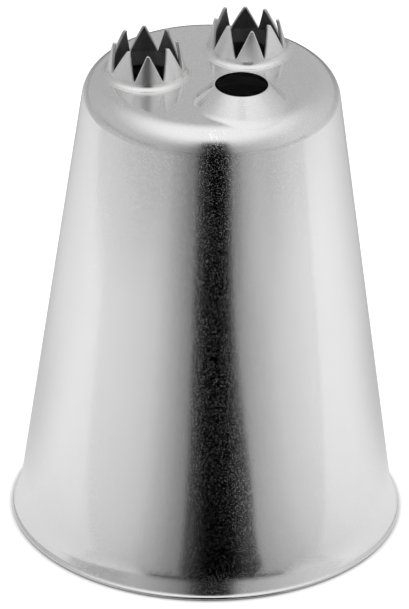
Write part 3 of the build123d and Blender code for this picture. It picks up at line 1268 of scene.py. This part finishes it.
def floor(studio):
    """A wide pale floor that takes the nozzle's shadow."""
    mesh = bpy.data.meshes.new("pale_floor")
    corners = [(x * FLOOR_HALF, y * FLOOR_HALF, 0) for x, y in ((-1, -1), (1, -1), (1, 1), (-1, 1))]
    mesh.from_pydata(corners, [], [[0, 1, 2, 3]])
    material, tree = new_material("pale_floor")
    path = tree.node("ShaderNodeLightPath", None, None, "Is Camera Ray")
    seen = path.highest(path.output("Is Glossy Ray")).highest(path.output("Is Transmission Ray"))
    matt = tree.node("ShaderNodeBsdfDiffuse", None, {"Color": (*studio.floor_colour, 1)})
    x, y, _ = tree.parts(tree.node("ShaderNodeTexCoord", None, None, "Object"))
    square = x * x + y * y
    outside = tree.between(square.math("SQRT", square), *GLOW_EDGE, 0.0, studio.floor_glow)
    glow = tree.node("ShaderNodeEmission", None, {"Color": (1, 1, 1, 1), "Strength": seen * outside})
    both = tree.node("ShaderNodeAddShader", None, {0: matt, 1: glow})
    tree.node("ShaderNodeOutputMaterial", None, {"Surface": both})
    mesh.materials.append(material)
    placed("pale_floor", mesh)


def soft_step(value, low, high):
    """A soft step from nought to one while the value goes from low to high."""
    part = min(max((value - low) / (high - low), 0.0), 1.0)
    return part * part * (3 - 2 * part)


def floor_light(bearing, reach):
    """How much of the floor's light is left at a bearing and a distance."""
    light = np.interp(bearing, *zip(*FLOOR_LIGHT)) * np.interp(reach, *zip(*FLOOR_SHADOW_AND_FALL))
    edge = np.interp(reach, *zip(*FLAG_EDGE))
    inside = soft_step(bearing, -12.5, -8.5) * (1 - soft_step(bearing, edge - 1.0, edge + 1.5))
    far_right = soft_step(reach, 140, 180) * soft_step(bearing, 22, 26) * (1 - soft_step(bearing, 36, 48))
    # Painted shadow of the nozzle on the floor close behind it, which only mirrors see.
    painted_shadow_behind = soft_step(abs(bearing), 95, 125) * (1 - soft_step(reach, 45, 85))
    light = light * (1 + 0.3 * far_right) * (1 - 0.14 * painted_shadow_behind)
    wing = 0.09 * (1 - soft_step(bearing, -10.0, 0.0)) + 0.1 * soft_step(bearing, 11.0, edge)
    return float((light * (1 - inside) + wing * inside) * FLOOR_LEVEL)


def floor_flag(studio):
    """A graded flag flat on the floor, dark in front and behind, which paints the floor's shade for mirrors, with
    painted shadow of the nozzle close round it.
    """
    radii = np.geomspace(22.7, 8500, 46)
    bearings = np.concatenate([np.arange(-180, -24, 3), np.arange(-24, 36, 0.75), np.arange(36, 180, 3)])
    spots = [(bearing, radius) for radius in radii for bearing in bearings]
    points = [floor_point(studio, bearing, radius, 0.05) for bearing, radius in spots]
    shades = [1 - floor_light(bearing, radius) for bearing, radius in spots]
    add_flag("floor_flag", points, grid_faces(len(radii), len(bearings), closed_columns=True), shades)


def front_card(studio):
    """A faintly grey card on the floor in front, whose straight edge both sides of the wall mirror."""
    toward, right = camera_sides(studio)
    points, shades = [], []
    for side, edge in FRONT_CARD:
        for ahead, shade in ((edge - CARD_SOFTNESS, 0.0), (edge + CARD_SOFTNESS, 1.0), (CARD_END, 1.0)):
            points.append((toward * ahead + right * side + Vector((0, 0, CARD_LEVEL))) * MM)
            shades.append(shade * (0.2 if side < -125 else 0.12))
    add_flag("front_card", points, grid_faces(len(FRONT_CARD), 3), shades)


def louvres(studio):
    """Rows of fine black strips on the floor in front, which dim it where a mirror sees it at a low angle."""
    bearings = np.linspace(-36, 48, 43)
    points, faces = [], []
    for reach in np.geomspace(24, 420, LOUVRE_COUNT):
        faces += grid_faces(len(bearings), 2, start=len(points))
        for bearing in bearings:
            rise = LOUVRE_HEIGHT * LOUVRE_SPACING * reach
            rise = rise * soft_step(bearing, -35, -24) * (1 - soft_step(bearing, 34, 47))
            points += [floor_point(studio, bearing, reach, level) for level in (0.07, 0.07 + rise)]
    add_flag("floor_louvres", points, faces, [0.85] * len(points))


def add_flag(name, points, faces, shades):
    """A flag, black where its shade is one and clear where it is nought, that only mirrors see."""
    mesh = bpy.data.meshes.new(name)
    mesh.from_pydata(points, [], faces)
    mesh.attributes.new("shade", "FLOAT", "POINT").data.foreach_set("value", shades)
    material, tree = new_material("black_flag")
    shade = tree.node("ShaderNodeAttribute", {"attribute_name": "shade"}, None, "Fac")
    clear = tree.node("ShaderNodeBsdfTransparent")
    black = tree.node("ShaderNodeBsdfDiffuse", None, {"Color": (0, 0, 0, 1)})
    mixed = tree.node("ShaderNodeMixShader", None, {0: shade, 1: clear, 2: black})
    tree.node("ShaderNodeOutputMaterial", None, {"Surface": mixed})
    mesh.materials.append(material)
    flag = placed(name, mesh)
    flag.visible_camera = False
    flag.visible_diffuse = False
    flag.visible_shadow = False
    flag.visible_transmission = False


def camera(studio):
    """The camera at the photo's angle."""
    toward, _ = camera_sides(studio)
    back = toward * cos(studio.elevation) + Vector((0, 0, sin(studio.elevation)))
    right = Vector((0, 0, 1)).cross(back).normalized()
    up = back.cross(right)
    rolled = right * cos(studio.roll) + up * sin(studio.roll)
    upright = up * cos(studio.roll) - right * sin(studio.roll)
    place = Vector((0, 0, studio.aim_height)) + back * studio.distance + right * studio.aim_side
    data = bpy.data.cameras.new("photo_camera")
    data.sensor_fit = "VERTICAL"
    data.sensor_height = FRAME_HEIGHT
    data.lens = studio.lens
    data.clip_start, data.clip_end = CLIP_RANGE
    made = placed("photo_camera", data)
    made.matrix_world = Matrix.Translation(place) @ Matrix((rolled, upright, back)).transposed().to_4x4()
    bpy.context.scene.camera = made


class NOZZLE_OT_studio(bpy.types.Operator):
    """Sets up the pale floor, the soft light and the camera"""

    bl_idname = "nozzle.studio"
    bl_label = "Studio"

    def execute(self, context):
        studio = context.scene.nozzle_studio
        context.scene.view_settings.view_transform = "Standard"
        sky(studio)
        floor(studio)
        floor_flag(studio)
        front_card(studio)
        louvres(studio)
        camera(studio)
        return {"FINISHED"}


class NOZZLE_PT_sidebar(bpy.types.Panel):
    """Sizes, finishes and steps of the piping nozzle"""

    bl_label = "Piping nozzle"
    bl_idname = "NOZZLE_PT_sidebar"
    bl_space_type = "VIEW_3D"
    bl_region_type = "UI"
    bl_category = "Nozzle"

    def draw(self, context):
        for operator in OPERATORS:
            self.layout.operator(operator.bl_idname)
        for name in GROUPS:
            box = self.layout.box()
            group = getattr(context.scene, name)
            for prop in own_properties(group):
                box.prop(group, prop.identifier)


OPERATORS = (
    NOZZLE_OT_drawn_shell,
    NOZZLE_OT_star_crowns,
    NOZZLE_OT_braze_fillets,
    NOZZLE_OT_studio,
)


def register():
    for name, group in GROUPS.items():
        bpy.utils.register_class(group)
        setattr(bpy.types.Scene, name, PointerProperty(type=group))
    for operator in OPERATORS:
        bpy.utils.register_class(operator)
    bpy.utils.register_class(NOZZLE_PT_sidebar)


def unregister():
    bpy.utils.unregister_class(NOZZLE_PT_sidebar)
    for operator in reversed(OPERATORS):
        bpy.utils.unregister_class(operator)
    for name, group in GROUPS.items():
        delattr(bpy.types.Scene, name)
        bpy.utils.unregister_class(group)


def main():
    """Builds the nozzle and its studio."""
    register()
    bpy.ops.nozzle.drawn_shell()
    bpy.ops.nozzle.star_crowns()
    bpy.ops.nozzle.braze_fillets()
    bpy.ops.nozzle.studio()


if __name__ == "__main__":
    main()
